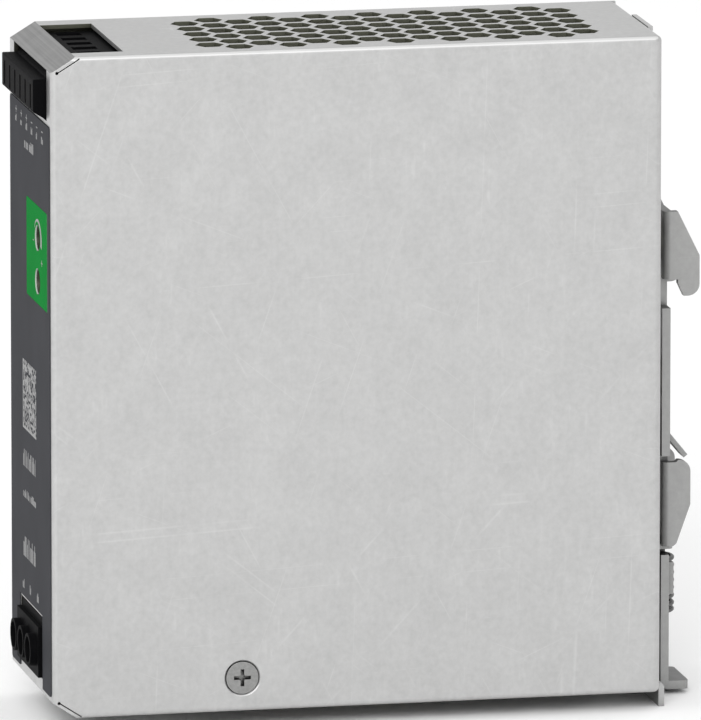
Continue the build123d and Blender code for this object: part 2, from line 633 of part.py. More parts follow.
with BuildPart() as transformer_bobbin:
    for flange_y in FLANGE_YS:
        flange = (flange_y, flange_y + FLANGE_SHEET)
        box((CORE_X[0] - 0.8, CORE_X[1] + 0.8), flange, (CORE_Z[0] - 4.5, CORE_Z[1] + 4.5))
        leg_z = (CENTRE_LEG_Z[0] - 0.1, CENTRE_LEG_Z[1] + 0.1)
        box((CORE_X[0] - 0.1, CORE_X[1] + 0.1), flange, leg_z, Mode.SUBTRACT)
    for foot_z in (33.0, 63.0):
        box((BOARD_X, CORE_X[0] - 0.8), (FLANGE_YS[0], FLANGE_YS[1] + FLANGE_SHEET), (foot_z, foot_z + 2.2))

with BuildPart() as transformer_winding:
    wound_x = (CORE_X[0] - 0.6, CORE_X[1] + 0.6)
    wound_y = (FLANGE_YS[0] + FLANGE_SHEET + 0.1, FLANGE_YS[1] - 0.1)
    box(wound_x, wound_y, (32.6, CENTRE_LEG_Z[0] - 0.1))
    box(wound_x, wound_y, (CENTRE_LEG_Z[1] + 0.1, 65.4))
    fillet(transformer_winding.edges().filter_by(Axis.Y), 2.4)

SHELF_Y = (52.0, 98.0)
RECTIFIER_Y = (70.0, 80.5)
with BuildPart() as output_heatsink:
    box((BOARD_X, 15.0), SHELF_Y, (SHELF_TOP - 2.0, SHELF_TOP))
    box((13.5, 15.0), SHELF_Y, (SHELF_TOP, SHELF_TOP + 12.0))

with BuildPart() as output_rectifier:
    box((-8.5, 2.0), RECTIFIER_Y, (SHELF_TOP, SHELF_TOP + 4.6))
    for pin in (-1, 0, 1):
        pin_y = middle(RECTIFIER_Y) + 2.54 * pin
        box((BOARD_X, -8.5), (pin_y - 0.4, pin_y + 0.4), (SHELF_TOP + 1.6, SHELF_TOP + 2.4))

CAN_R = 5.0
with BuildPart() as output_capacitors:
    for can in range(3):
        rod_x(24.5 + 11.5 * can, 98.0, CAN_R, (BOARD_X, 8.0))
    fillet(output_capacitors.edges().group_by(Axis.X)[-1], 0.7)

RING_Y = 66.0
RING_Z = 106.5
RING_X = (-11.0, -3.0)
RING_R = (4.4, 8.4)
WIRE_THICKNESS = 1.4
with BuildPart() as output_inductor_core:
    rod_x(RING_Y, RING_Z, RING_R[1], RING_X)
    rod_x(RING_Y, RING_Z, RING_R[0], RING_X, Mode.SUBTRACT)

with BuildPart() as output_inductor_winding:
    wound_x = (RING_X[0] - 1.6, RING_X[1] + 1.6)
    with BuildSketch(side(wound_x[0])) as ring:
        with Locations((RING_Y, RING_Z)):
            Circle(RING_R[1] + WIRE_THICKNESS)
            Circle(RING_R[0] - WIRE_THICKNESS, mode=Mode.SUBTRACT)
    extrude(ring.sketch, amount=wound_x[1] - wound_x[0])
    with BuildSketch(side(RING_X[0])) as ring:
        with Locations((RING_Y, RING_Z)):
            Circle(RING_R[1])
            Circle(RING_R[0], mode=Mode.SUBTRACT)
    extrude(ring.sketch, amount=RING_X[1] - RING_X[0], mode=Mode.SUBTRACT)
    box(wound_x, (RING_Y - 11.0, RING_Y), (RING_Z - 1.6, RING_Z + 1.6), Mode.SUBTRACT)

COUPLER_Z = (74.0, 80.4)
LEG_LENGTH = 1.6
with BuildPart() as optocouplers:
    for chip_y in (58.0, 70.0):
        box((BOARD_X + 0.4, BOARD_X + 4.0), (chip_y, chip_y + 6.6), COUPLER_Z)
        for leg_y in (chip_y + 1.2, chip_y + 3.8):
            box(LEG_X, (leg_y, leg_y + 1), (COUPLER_Z[0] - LEG_LENGTH, COUPLER_Z[0]))
            box(LEG_X, (leg_y, leg_y + 1), (COUPLER_Z[1], COUPLER_Z[1] + LEG_LENGTH))

CHIP_Z = (64.0, 68.0)
CHIP_Y = (40.0, 50.0)
CHIP_LEG_PITCH = 1.27
with BuildPart() as control_chip:
    box((BOARD_X + 0.2, BOARD_X + 1.8), CHIP_Y, CHIP_Z)
    for leg in range(8):
        leg_y = CHIP_Y[0] + 0.4 + CHIP_LEG_PITCH * leg
        for leg_z in ((CHIP_Z[0] - 1.2, CHIP_Z[0]), (CHIP_Z[1], CHIP_Z[1] + 1.2)):
            box((BOARD_X, BOARD_X + 0.6), (leg_y, leg_y + 0.4), leg_z)

# ---------------------------------------------------------------- rail clip: fixed bracket
NOTCH_HALF = 3.8
NOTCH_LOW = 70.2
PLATE_LOW = 42.1
HOOK_TOP = 88.7
TONGUE_ROOT = 46.7
TONGUE_ANGLE = 50.5
TONGUE_LENGTH = 6.9
TONGUE_SHEET = 0.9


def mirrored_plates(points, inner, outer, rounded=()):
    """The same plate on the left and on the right."""
    side_profile(points, (inner, outer), rounded=rounded)
    side_profile(points, (-outer, -inner), rounded=rounded)


with BuildPart() as rail_bracket:
    box((-HOOK_HALF, HOOK_HALF), (PLATE_FRONT, PLATE_BACK), (SEAT_HEIGHT, HOOK_TOP))
    bend = rail_bracket.edges().filter_by(Axis.Z).group_by(Axis.Y)[0]
    fillet(bend, 1.45)
    mirrored_plates(
        [
            (PLATE_BACK - 0.2, HOOK_TOP),
            (DEPTH + 5.8, HOOK_TOP),
            (DEPTH + 9.95, 80.3),
            (DEPTH + 9.95, 72.7),
            (DEPTH + 6.95, 72.7),
            (DEPTH + 5.85, 75.05),
            (DEPTH + 5.85, SEAT_HEIGHT),
            (PLATE_BACK - 0.2, SEAT_HEIGHT),
        ],
        HOOK_HALF - PLATE,
        HOOK_HALF,
        rounded=(((DEPTH + 9.95, 72.7), 2.2), ((DEPTH + 9.95, 80.3), 1.0)),
    )
    box((-NOTCH_HALF, NOTCH_HALF), (PLATE_FRONT, PLATE_BACK), (NOTCH_LOW, SEAT_HEIGHT))
    box((-PLATE_HALF, PLATE_HALF), (PLATE_FRONT, PLATE_BACK), (PLATE_LOW, NOTCH_LOW))
    box((-3.9, 3.9), (PLATE_FRONT, PLATE_BACK), (PLATE_LOW, TONGUE_ROOT - 0.9), Mode.SUBTRACT)
    tongue_normal = (0, sin(radians(TONGUE_ANGLE)), cos(radians(TONGUE_ANGLE)))
    tongue_plane = Plane(
        origin=(0, FRONT + PLATE_BACK, BOTTOM + TONGUE_ROOT), x_dir=(1, 0, 0), z_dir=tongue_normal
    )
    with BuildSketch(tongue_plane) as tongue:
        with BuildLine():
            Polyline(
                (-3.6, -1.2),
                (3.6, -1.2),
                (3.6, 0.6),
                (2.3, TONGUE_LENGTH),
                (-2.3, TONGUE_LENGTH),
                (-3.6, 0.6),
                close=True,
            )
        make_face()
    extrude(tongue.sketch, amount=-TONGUE_SHEET)
    for screw_z in BRACKET_SCREW_ZS:
        with BuildSketch(elevation(PLATE_BACK)) as sink:
            with Locations((0, screw_z)):
                Circle(3.1)
        extrude(sink.sketch, amount=1.5, taper=45, mode=Mode.SUBTRACT)
        rod_y(0, screw_z, 1.7, (PLATE_FRONT, PLATE_BACK), Mode.SUBTRACT)

with BuildPart() as bracket_screws:
    for screw_z in BRACKET_SCREW_ZS:
        with BuildSketch(elevation(PLATE_BACK)) as head:
            with Locations((0, screw_z)):
                Circle(3.0)
        extrude(head.sketch, amount=1.5, taper=45)
        rod_y(0, screw_z, 1.5, (DEPTH - 3.4, PLATE_BACK - 0.6))
        for turn in (25, 115):
            with BuildSketch(elevation(PLATE_BACK)) as cross:
                with Locations((0, screw_z)):
                    Rectangle(3.2, 0.7, rotation=turn)
            extrude(cross.sketch, amount=1.0, taper=10, mode=Mode.SUBTRACT)

with BuildPart() as bracket_spacers:
    for screw_z in BRACKET_SCREW_ZS:
        rod_y(0, screw_z, 3.5, (DEPTH, PLATE_FRONT))
        rod_y(0, screw_z, 1.7, (DEPTH, PLATE_FRONT), Mode.SUBTRACT)

with BuildPart() as bracket_nuts:
    for screw_z in BRACKET_SCREW_ZS:
        with BuildSketch(elevation(DEPTH - SHEET)) as hexagon:
            with Locations((0, screw_z)):
                RegularPolygon(3.1, 6)
                Circle(1.5, mode=Mode.SUBTRACT)
        extrude(hexagon.sketch, amount=2.4)

# ---------------------------------------------------------------- rail clip: guide, latch and spring
LATCH_FRONT = DEPTH + 3.2
LATCH_BACK = PLATE_BACK
LATCH_HALF = 6.3
GUIDE_TOP = 25.2
EAR_HALF = 7.2
EAR_SHEET = 1.6
EAR_LOW = 25.0
EAR_REST = 40.98
EAR_LIP = 41.38
WEB_LOW = 29.6
NECK_HALF = 3.0
LATCH_TOP = 23.2
FOOT_BACK = DEPTH + 8.58
FOOT_Z = (-2.5, -0.9)
WINDOW_HALF = 3.3
WINDOW_SPAN = (9.2, 22.8)
LUG = 1.1
LUG_HALF = 5.2
LUG_BACK = DEPTH + 5.8
TAB_Z = (10.0, 11.1)
SPRING_Y = DEPTH + 4.3
SPRING_R = 2.45
SPRING_WIRE = 0.4
SPRING_TURNS = 8
SPRING_GAP = 0.05

with BuildPart() as latch_guide:
    box((-5.6, 5.6), (DEPTH, DEPTH + LUG), (TAB_Z[0], GUIDE_TOP))
    box((-LUG_HALF, LUG_HALF), (DEPTH, LUG_BACK), (GUIDE_TOP - LUG, GUIDE_TOP))
    fillet(latch_guide.edges().filter_by(Axis.Z).group_by(Axis.Y)[-1], 0.9)
    box((-2.8, 2.8), (DEPTH, LATCH_BACK), TAB_Z)
    slot_y = (LATCH_FRONT - 0.1, LATCH_BACK + 0.1)
    box((-NECK_HALF - 0.15, NECK_HALF + 0.15), slot_y, (GUIDE_TOP - LUG, GUIDE_TOP), Mode.SUBTRACT)
    for rivet_x, rivet_z in RIVETS:
        rod_y(rivet_x, rivet_z, RIVET_R, (DEPTH, DEPTH + LUG), Mode.SUBTRACT)

with BuildPart() as guide_rivets:
    for rivet_x, rivet_z in RIVETS:
        rod_y(rivet_x, rivet_z, RIVET_R, (DEPTH - SHEET, DEPTH + LUG))
        rod_y(rivet_x, rivet_z, 1.35, (DEPTH + LUG, DEPTH + LUG + 0.6))
        rod_y(rivet_x, rivet_z, 1.35, (DEPTH - SHEET - 0.6, DEPTH - SHEET))

with BuildPart() as latch_slider:
    side_profile(
        [
            (LATCH_FRONT, LATCH_TOP),
            (LATCH_BACK, LATCH_TOP),
            (LATCH_BACK, FOOT_Z[1]),
            (FOOT_BACK, FOOT_Z[1]),
            (FOOT_BACK, FOOT_Z[0]),
            (LATCH_FRONT, FOOT_Z[0]),
        ],
        (-LATCH_HALF, LATCH_HALF),
    )
    foot_bend = latch_slider.edges().filter_by(Axis.X).group_by(Axis.Z)[0].sort_by(Axis.Y)[0]
    fillet(foot_bend, 1.6)
    foot_corners = latch_slider.edges().filter_by(Axis.Z).group_by(Axis.Y)[-1]
    fillet(foot_corners, 0.8)
    box((-WINDOW_HALF, WINDOW_HALF), (LATCH_FRONT, LATCH_BACK), WINDOW_SPAN, Mode.SUBTRACT)
    for lip_x in ((-4.05, -3.35), (3.35, 4.05)):
        box(lip_x, (LATCH_BACK - 0.2, DEPTH + 6.15), (15.2, 21.3))
    box((-NECK_HALF, NECK_HALF), (LATCH_FRONT, LATCH_BACK), (LATCH_TOP, WEB_LOW))
    box((-EAR_HALF, EAR_HALF), (LATCH_FRONT, LATCH_BACK), (WEB_LOW, EAR_REST))
    mirrored_plates(
        [
            (LATCH_FRONT, EAR_REST),
            (DEPTH + 5.82, EAR_REST),
            (DEPTH + 6.2, EAR_LIP),
            (DEPTH + 8.58, EAR_LIP),
            (DEPTH + 8.58, 32.9),
            (DEPTH + 5.93, 25.5),
            (DEPTH + 5.3, EAR_LOW),
            (LATCH_FRONT, EAR_LOW),
        ],
        EAR_HALF - EAR_SHEET,
        EAR_HALF,
        rounded=(((DEPTH + 8.58, EAR_LIP), 2.2), ((DEPTH + 8.58, 32.9), 1.0)),
    )
    ear_bends = latch_slider.edges().filter_by(Axis.Z).filter_by_position(
        Axis.Y, FRONT + LATCH_FRONT - 0.01, FRONT + LATCH_FRONT + 0.01
    )
    ear_bends = ear_bends.group_by(Axis.X)[0] + ear_bends.group_by(Axis.X)[-1]
    fillet(ear_bends, 1.4)
    box((-LUG_HALF, LUG_HALF), (DEPTH + 1.5, LATCH_BACK - 0.1), (EAR_REST - 0.1, 41.95))
    box((-NECK_HALF, NECK_HALF), (DEPTH + 1.5, DEPTH + 3.0), (41.5, 49.5))

with BuildPart() as latch_spring:
    coil_low = TAB_Z[1] + SPRING_WIRE + SPRING_GAP
    coil_height = WINDOW_SPAN[1] - SPRING_WIRE - SPRING_GAP - coil_low
    with BuildLine() as coil:
        Helix(
            pitch=coil_height / SPRING_TURNS,
            height=coil_height,
            radius=SPRING_R,
            center=(0, FRONT + SPRING_Y, BOTTOM + coil_low),
        )
    with BuildSketch(Plane(origin=coil.line @ 0, z_dir=coil.line % 0)) as wire:
        Circle(SPRING_WIRE)
    sweep(wire.sketch, path=coil.line, is_frenet=True)

# ---------------------------------------------------------------- files
PIECES = {
    "housing_shell": housing_shell,
    "side_cover": side_cover,
    "cover_screws": cover_screws,
    "side_screw": side_screw,
    "tie_bracket": tie_bracket,
    "insulating_sheet": insulating_sheet,
    "cover_liner": cover_liner,
    "front_label": front_label,
    "adjustment_label": adjustment_label,
    "output_terminal_block": output_terminal_block,
    "output_clamps": output_clamps,
    "output_contacts": output_contacts,
    "output_board": output_board,
    "input_terminal_block": input_terminal_block,
    "input_contacts": input_contacts,
    "input_board": input_board,
    "trimmer_body": trimmer_body,
    "trimmer_rotor": trimmer_rotor,
    "status_lamp": status_lamp,
    "control_board": control_board,
    "main_board": main_board,
    "board_standoffs": board_standoffs,
    "board_screws": board_screws,
    "choke_core": choke_core,
    "choke_windings": choke_windings,
    "line_capacitor": line_capacitor,
    "safety_capacitors": safety_capacitors,
    "fuse": fuse,
    "fuse_clips": fuse_clips,
    "varistor": varistor,
    "bulk_capacitor": bulk_capacitor,
    "bridge_rectifier": bridge_rectifier,
    "primary_heatsink": primary_heatsink,
    "switching_transistor": switching_transistor,
    "transistor_clip": transistor_clip,
    "transformer_core": transformer_core,
    "transformer_bobbin": transformer_bobbin,
    "transformer_winding": transformer_winding,
    "output_heatsink": output_heatsink,
    "output_rectifier": output_rectifier,
    "output_capacitors": output_capacitors,
    "output_inductor_core": output_inductor_core,
    "output_inductor_winding": output_inductor_winding,
    "optocouplers": optocouplers,
    "control_chip": control_chip,
    "rail_bracket": rail_bracket,
    "bracket_screws": bracket_screws,
    "bracket_spacers": bracket_spacers,
    "bracket_nuts": bracket_nuts,
    "latch_guide": latch_guide,
    "guide_rivets": guide_rivets,
    "latch_slider": latch_slider,
    "latch_spring": latch_spring,
}
for pole in range(3):
    PIECES[f"input_screw_{pole + 1}"] = input_screws[pole]
    PIECES[f"input_cage_{pole + 1}"] = input_cages[pole]

os.makedirs("parts", exist_ok=True)
for name, piece in PIECES.items():
    piece.part.label = name
    export_step(piece.part, f"parts/{name}.step")
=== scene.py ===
import json
import math
import random

import bmesh
import bpy
from mathutils import Matrix, Vector


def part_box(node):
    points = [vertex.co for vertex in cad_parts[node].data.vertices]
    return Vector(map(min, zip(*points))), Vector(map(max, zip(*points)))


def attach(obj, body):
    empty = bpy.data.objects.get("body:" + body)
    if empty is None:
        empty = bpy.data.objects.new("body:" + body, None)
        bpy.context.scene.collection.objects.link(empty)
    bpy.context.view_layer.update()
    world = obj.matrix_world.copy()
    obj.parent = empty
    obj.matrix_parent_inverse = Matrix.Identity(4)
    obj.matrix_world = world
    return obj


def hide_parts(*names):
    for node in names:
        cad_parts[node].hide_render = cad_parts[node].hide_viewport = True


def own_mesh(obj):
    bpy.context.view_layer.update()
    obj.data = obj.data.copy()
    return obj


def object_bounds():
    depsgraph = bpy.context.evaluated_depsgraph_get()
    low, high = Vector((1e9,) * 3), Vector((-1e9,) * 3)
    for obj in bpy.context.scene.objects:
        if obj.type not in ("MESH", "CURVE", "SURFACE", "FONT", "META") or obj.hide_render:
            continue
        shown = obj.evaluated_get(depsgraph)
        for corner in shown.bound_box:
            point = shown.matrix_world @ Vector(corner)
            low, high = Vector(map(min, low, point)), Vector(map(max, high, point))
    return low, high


# DIN rail power supply. Sizes are in millimetres unless a name ends in _M. Places are given as
# x, depth behind the front face and height above the bottom, as the case is drawn.

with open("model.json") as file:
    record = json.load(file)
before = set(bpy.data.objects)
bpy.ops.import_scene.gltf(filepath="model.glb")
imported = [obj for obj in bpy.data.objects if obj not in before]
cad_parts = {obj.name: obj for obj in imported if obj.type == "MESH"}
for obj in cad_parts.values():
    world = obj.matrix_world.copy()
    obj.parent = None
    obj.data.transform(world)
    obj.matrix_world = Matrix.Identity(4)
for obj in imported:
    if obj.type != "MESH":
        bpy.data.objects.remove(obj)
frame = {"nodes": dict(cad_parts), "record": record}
cad_box = [list(corner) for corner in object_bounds()]
nodes = frame["nodes"]
slot_of = {part["node"]: part["material_slot"] for part in frame["record"]["subparts"]}

MM = 0.001  # metres in a millimetre
FRONT_Y_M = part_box("side_cover")[0].y
BOTTOM_Z_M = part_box("side_cover")[0].z


def at(x, depth, height):
    """A place on the unit, in the frame's metres."""
    return Vector((x * MM, FRONT_Y_M + depth * MM, BOTTOM_Z_M + height * MM))


# ------------------------------------------------------------------ node materials
SEED_STEP = (0.37, 0.71, 0.53)
SPREAD = (0.3, 0.7)  # where most values of a smooth noise lie
BEVEL_SAMPLES = 4
# Painted shade: an ambient occlusion node darkens the base colour in gaps and recesses.
PAINTED_SHADE_SAMPLES = 6
PAINTED_SHADE_RANGE = (0.15, 0.75)  # share of open sky: darkest below the first, clear above the second
EDGE_RANGE = (0.9, 0.995)  # cosine between a rounded and a flat normal: edge to flat
SCRATCH_LENGTH = 4000.0
SCRATCH_WIDTH = 0.004  # in units of the noise's value
SCRATCH_RUN = 13.0
RUN_SEED, RUN_FADE = 3.1, 0.12
# Cosines between which a face comes to count as looking along a direction.
STRIP_MATCH = (0.94, 0.97)
FOLD_MATCH = (0.9, 0.95)
UPWARD_MATCH = (0.6, 0.9)
WALL_MATCH = (0.1, 0.3)
# Directions that the case's chamfer strips (painted shade) and the flats of its folds (painted
# highlights) look along.
TOP_STRIP = (0.0, -2.85, 4.7)
BOTTOM_STRIP = (0.0, -3.1, -4.7)
FOLD_HIGHLIGHT_DIRECTIONS = ((1.0, 0.0, 1.0), (1.0, -0.5, 0.85))
RIGHTWARD, UPWARD = (1.0, 0.0, 0.0), (0.0, 0.0, 1.0)
# Walls of holes have x and y below these: not the outer right side, and not the bottom flap.
CUT_LIMITS_M = at(17.5, 112.0, 0.0).xy


class Recipe:
    """A node material being put together. Its methods return output sockets."""

    def __init__(self, name, **constants):
        self.material = bpy.data.materials.new(name)
        self.material.use_nodes = True
        self.tree = self.material.node_tree
        self.shader = self.tree.nodes["Principled BSDF"]
        for socket, value in constants.items():
            self.shader.inputs[socket.replace("_", " ")].default_value = value
        self.place = self.tree.nodes.new("ShaderNodeTexCoord").outputs["Object"]

    def plug(self, value, socket):
        """Links a socket, or sets a constant."""
        if isinstance(value, bpy.types.NodeSocket):
            self.tree.links.new(value, socket)
        else:
            socket.default_value = value

    def set(self, socket, value):
        self.plug(value, self.shader.inputs[socket])

    def math(self, operation, *values):
        node = self.tree.nodes.new("ShaderNodeMath")
        node.operation = operation
        for value, socket in zip(values, node.inputs):
            self.plug(value, socket)
        return node.outputs[0]

    def mix(self, share, first, second, blend="MIX"):
        """The first colour where the share is 0, and the second (or the blend) where it is 1."""
        node = self.tree.nodes.new("ShaderNodeMix")
        node.data_type = "RGBA"
        node.blend_type = blend
        self.plug(share, node.inputs[0])
        for colour, socket in ((first, node.inputs[6]), (second, node.inputs[7])):
            self.plug((*colour, 1.0) if isinstance(colour, tuple) else colour, socket)
        return node.outputs[2]

    def ramp(self, value, low, high, start=0.0, end=1.0):
        """Goes from start to end as the value goes from low to high."""
        node = self.tree.nodes.new("ShaderNodeMapRange")
        for number, socket in zip((value, low, high, start, end), node.inputs):
            self.plug(number, socket)
        return node.outputs[0]

    def dot(self, first, second):
        node = self.tree.nodes.new("ShaderNodeVectorMath")
        node.operation = "DOT_PRODUCT"
        self.plug(first, node.inputs[0])
        self.plug(second, node.inputs[1])
        return node.outputs["Value"]

    def stretched(self, size, angle=0.0, seed=0.0):
        """Coordinates in which one unit is size long on each axis, turned about X (degrees)."""
        node = self.tree.nodes.new("ShaderNodeMapping")
        node.vector_type = "TEXTURE"
        self.tree.links.new(self.place, node.inputs["Vector"])
        node.inputs["Location"].default_value = [seed * step for step in SEED_STEP]
        node.inputs["Rotation"].default_value = (math.radians(angle), 0.0, 0.0)
        node.inputs["Scale"].default_value = [length * MM for length in size]
        return node.outputs[0]

    def noise(self, size, detail=2.0, angle=0.0, seed=0.0, roughness=0.5):
        """Smooth noise from 0 to 1, with features about size across."""
        size = size if isinstance(size, tuple) else (size, size, size)
        node = self.tree.nodes.new("ShaderNodeTexNoise")
        self.tree.links.new(self.stretched(size, angle, seed), node.inputs["Vector"])
        node.inputs["Scale"].default_value = 1.0
        node.inputs["Detail"].default_value = detail
        node.inputs["Roughness"].default_value = roughness
        return node.outputs[0]

    def cells(self, size, seed, feature="F1"):
        """Distance to the middle, or the edge, of irregular cells about size across."""
        node = self.tree.nodes.new("ShaderNodeTexVoronoi")
        node.feature = feature
        place = self.stretched((size, size, size), seed=seed)
        self.tree.links.new(place, node.inputs["Vector"])
        node.inputs["Scale"].default_value = 1.0
        return node.outputs["Distance"]

    def scratches(self, angle, seed, spacing, share):
        """Straight hairlines at one angle, broken into runs: 1 on a line and 0 off it."""
        across = self.noise((spacing, SCRATCH_LENGTH, spacing), 0.0, angle, seed)
        away = self.math("ABSOLUTE", self.math("SUBTRACT", across, 0.5))
        lines = self.ramp(away, 0.0, SCRATCH_WIDTH, 1.0, 0.0)
        patches = self.noise(SCRATCH_RUN, 1.0, seed=seed + RUN_SEED)
        runs = self.ramp(patches, share, share + RUN_FADE)
        return self.math("MULTIPLY", lines, runs)

    def paint_shade_in_gaps(self, colour, reach, darkest):
        """The colour with painted shade: darkened in gaps and recesses less than reach across."""
        node = self.tree.nodes.new("ShaderNodeAmbientOcclusion")
        node.samples = PAINTED_SHADE_SAMPLES
        node.inputs["Distance"].default_value = reach * MM
        light = self.ramp(node.outputs["AO"], *PAINTED_SHADE_RANGE, darkest, 1.0)
        return self.mix(1.0, colour, light, "MULTIPLY")

    def facing(self, direction, low, high):
        """1 on faces that look along a direction, 0 on the others."""
        normal = self.tree.nodes.new("ShaderNodeNewGeometry").outputs["Normal"]
        return self.ramp(self.dot(normal, Vector(direction).normalized()), low, high)

    def cut_walls(self):
        """1 on the walls of the vents and the label holes that look towards +X."""
        axes = self.tree.nodes.new("ShaderNodeSeparateXYZ")
        self.tree.links.new(self.place, axes.inputs[0])
        inside_x = self.math("LESS_THAN", axes.outputs["X"], CUT_LIMITS_M.x)
        inside_y = self.math("LESS_THAN", axes.outputs["Y"], CUT_LIMITS_M.y)
        inside = self.math("MULTIPLY", inside_x, inside_y)
        return self.math("MULTIPLY", inside, self.facing(RIGHTWARD, *WALL_MATCH))

    def rounded_normal(self, radius):
        node = self.tree.nodes.new("ShaderNodeBevel")
        node.samples = BEVEL_SAMPLES
        node.inputs["Radius"].default_value = radius * MM
        return node.outputs[0]

    def edges(self, radius):
        """1 along outer and inner edges, 0 on flat faces; it places worn and chipped edges, and
        painted edge highlights on metals.
        """
        flat_normal = self.tree.nodes.new("ShaderNodeNewGeometry").outputs["True Normal"]
        likeness = self.dot(self.rounded_normal(radius), flat_normal)
        return self.ramp(likeness, *EDGE_RANGE, 1.0, 0.0)

    def bump(self, *layers, rounding=None):
        """Surface relief from (height socket, depth) layers, over slightly rounded edges."""
        normal = self.rounded_normal(rounding) if rounding else None
        for height, depth in layers:
            node = self.tree.nodes.new("ShaderNodeBump")
            node.inputs["Strength"].default_value = 1.0
            node.inputs["Distance"].default_value = depth * MM
            self.tree.links.new(height, node.inputs["Height"])
            if normal:
                self.tree.links.new(normal, node.inputs["Normal"])
            normal = node.outputs[0]
        self.set("Normal", normal)


def shade(colour, factor):
    return tuple(min(1.0, channel * factor) for channel in colour)


def grey(level):
    return (level, level, level)


# Each row: angle from level (degrees), seed, spacing, threshold above which runs show.
HAIRLINES = (
    (3.0, 4.0, 10.0, 0.52),
    (24.0, 5.0, 13.0, 0.54),
    (47.0, 12.0, 15.0, 0.56),
    (71.0, 6.0, 14.0, 0.55),
    (88.0, 7.0, 11.0, 0.54),
    (118.0, 8.0, 14.0, 0.56),
    (141.0, 13.0, 12.0, 0.56),
    (158.0, 9.0, 13.0, 0.54),
)
# Painted shade on the walls of the vents and label holes in the case.
HOLE_WALL_SHADE_TONE = (0.18, 0.183, 0.142)
BRUSHED_SIZE = (60.0, 0.5, 0.5)


def folded_looks(recipe, body, tone):
    """Brushed chamfer strips with painted shade, painted highlights on the folds and painted shade on
    the walls in the vents.
    """
    brushed = recipe.noise(BRUSHED_SIZE, 2.0, seed=8.0)
    streaks = recipe.ramp(brushed, 0.35, 0.65)
    # Painted shade on the top chamfer strip, with real brush streaks in it.
    painted_shade_strip_tone = recipe.mix(streaks, shade(tone, 0.42), shade(tone, 0.56))
    body = recipe.mix(recipe.facing(TOP_STRIP, *STRIP_MATCH), body, painted_shade_strip_tone)
    # Painted shade on the bottom chamfer strip.
    body = recipe.mix(recipe.facing(BOTTOM_STRIP, *STRIP_MATCH), body, shade(tone, 0.85))
    # Painted highlights on the flats of the folds.
    for fold in FOLD_HIGHLIGHT_DIRECTIONS:
        body = recipe.mix(recipe.facing(fold, *FOLD_MATCH), body, shade(tone, 1.5))
    # Painted shade on the walls of the vents and label holes.
    return recipe.mix(recipe.cut_walls(), body, HOLE_WALL_SHADE_TONE), brushed


def sheet_metal(name, tone, rough, blotch, scratched=1.0, grain=1.0, folded=False, painted_top_shade=None):
    """Rolled, zinc-coated sheet: clouds, a fine rolling grain and stray hairline scratches, with
    painted highlights on the edges and painted shade in gaps and recesses.

    blotch is the size of the clouds, scratched and grain scale the scratches and the rolling
    grain, and upper is the painted shade on the faces that look up.
    """
    recipe = Recipe(name, Metallic=0.85)
    clouds = recipe.noise((blotch, blotch, blotch * 1.3), 6.0, seed=1.0, roughness=0.68)
    flakes = recipe.noise(1.3, 4.0, seed=2.0, roughness=0.65)
    rolling = recipe.noise((0.35, 0.35, 22.0), 2.0, seed=3.0)
    hairs = recipe.scratches(*HAIRLINES[0])
    for hairline in HAIRLINES[1:]:
        hairs = recipe.math("MAXIMUM", hairs, recipe.scratches(*hairline))
    rubs = recipe.ramp(recipe.noise((1.1, 1.1, 6.0), 3.0, seed=14.0), 0.58, 0.78)
    scuffs = recipe.math("MULTIPLY", rubs, recipe.ramp(clouds, 0.5, 0.65))
    mottle = recipe.math("MULTIPLY_ADD", clouds, 0.4, recipe.math("MULTIPLY", flakes, 0.5))
    mottle = recipe.math("MULTIPLY_ADD", rolling, 0.1 * grain, mottle)
    body = recipe.mix(recipe.ramp(mottle, *SPREAD), shade(tone, 0.9), shade(tone, 1.12))
    body = recipe.mix(recipe.math("MULTIPLY", hairs, 0.3 * scratched), body, shade(tone, 1.3))
    # The lighter scuffs are wear; the lighter edges are a painted highlight.
    for wear_and_highlight in (
        recipe.math("MULTIPLY", scuffs, 0.5 * scratched),
        recipe.math("MULTIPLY", recipe.edges(0.25), 0.35),
    ):
        body = recipe.mix(wear_and_highlight, body, shade(tone, 1.25))
    layers = [(rolling, 0.006 * grain), (flakes, 0.004), (hairs, -0.006 * scratched)]
    if folded:
        body, brushed = folded_looks(recipe, body, tone)
        layers.append((brushed, 0.004))
    # Painted shade: faces that look up are darkened.
    if painted_top_shade:
        body = recipe.mix(recipe.facing(UPWARD, *UPWARD_MATCH), body, shade(tone, painted_top_shade))
    # Painted shade: the base colour is darkened in gaps and recesses up to 4 mm across.
    recipe.set("Base Color", recipe.paint_shade_in_gaps(body, reach=4.0, darkest=0.12))
    uneven = recipe.ramp(clouds, *SPREAD, rough - 0.04, rough + 0.05)
    recipe.set("Roughness", recipe.math("MULTIPLY_ADD", hairs, -0.08 * scratched, uneven))
    recipe.bump(*layers, rounding=0.12)
    return recipe.material


def turned_metal(name, tone, rough, mottle=0.5):
    """Small plated parts: fine mottled plating, a painted highlight on the edges and painted shade in
    the corners.
    """
    recipe = Recipe(name, Metallic=0.95)
    spots = recipe.noise(mottle, 3.0, seed=11.0)
    haze = recipe.noise(3.5, 2.0, seed=12.0)
    body = recipe.mix(recipe.ramp(spots, 0.35, 0.7), shade(tone, 0.86), shade(tone, 1.06))
    body = recipe.mix(recipe.ramp(haze, 0.45, 0.75, end=0.5), body, shade(tone, 0.8))
    # Painted highlight: the edges of the plated parts are lightened.
    edge_wear_and_highlight = recipe.math("MULTIPLY", recipe.edges(0.15), 0.6)
    body = recipe.mix(edge_wear_and_highlight, body, shade(tone, 1.25))
    # Painted shade in the corners and recesses, such as the cross in a screw head.
    recipe.set("Base Color", recipe.paint_shade_in_gaps(body, reach=1.2, darkest=0.1))
    recipe.set("Roughness", recipe.ramp(spots, *SPREAD, rough - 0.06, rough + 0.08))
    recipe.bump((spots, 0.006), rounding=0.1)
    return recipe.material


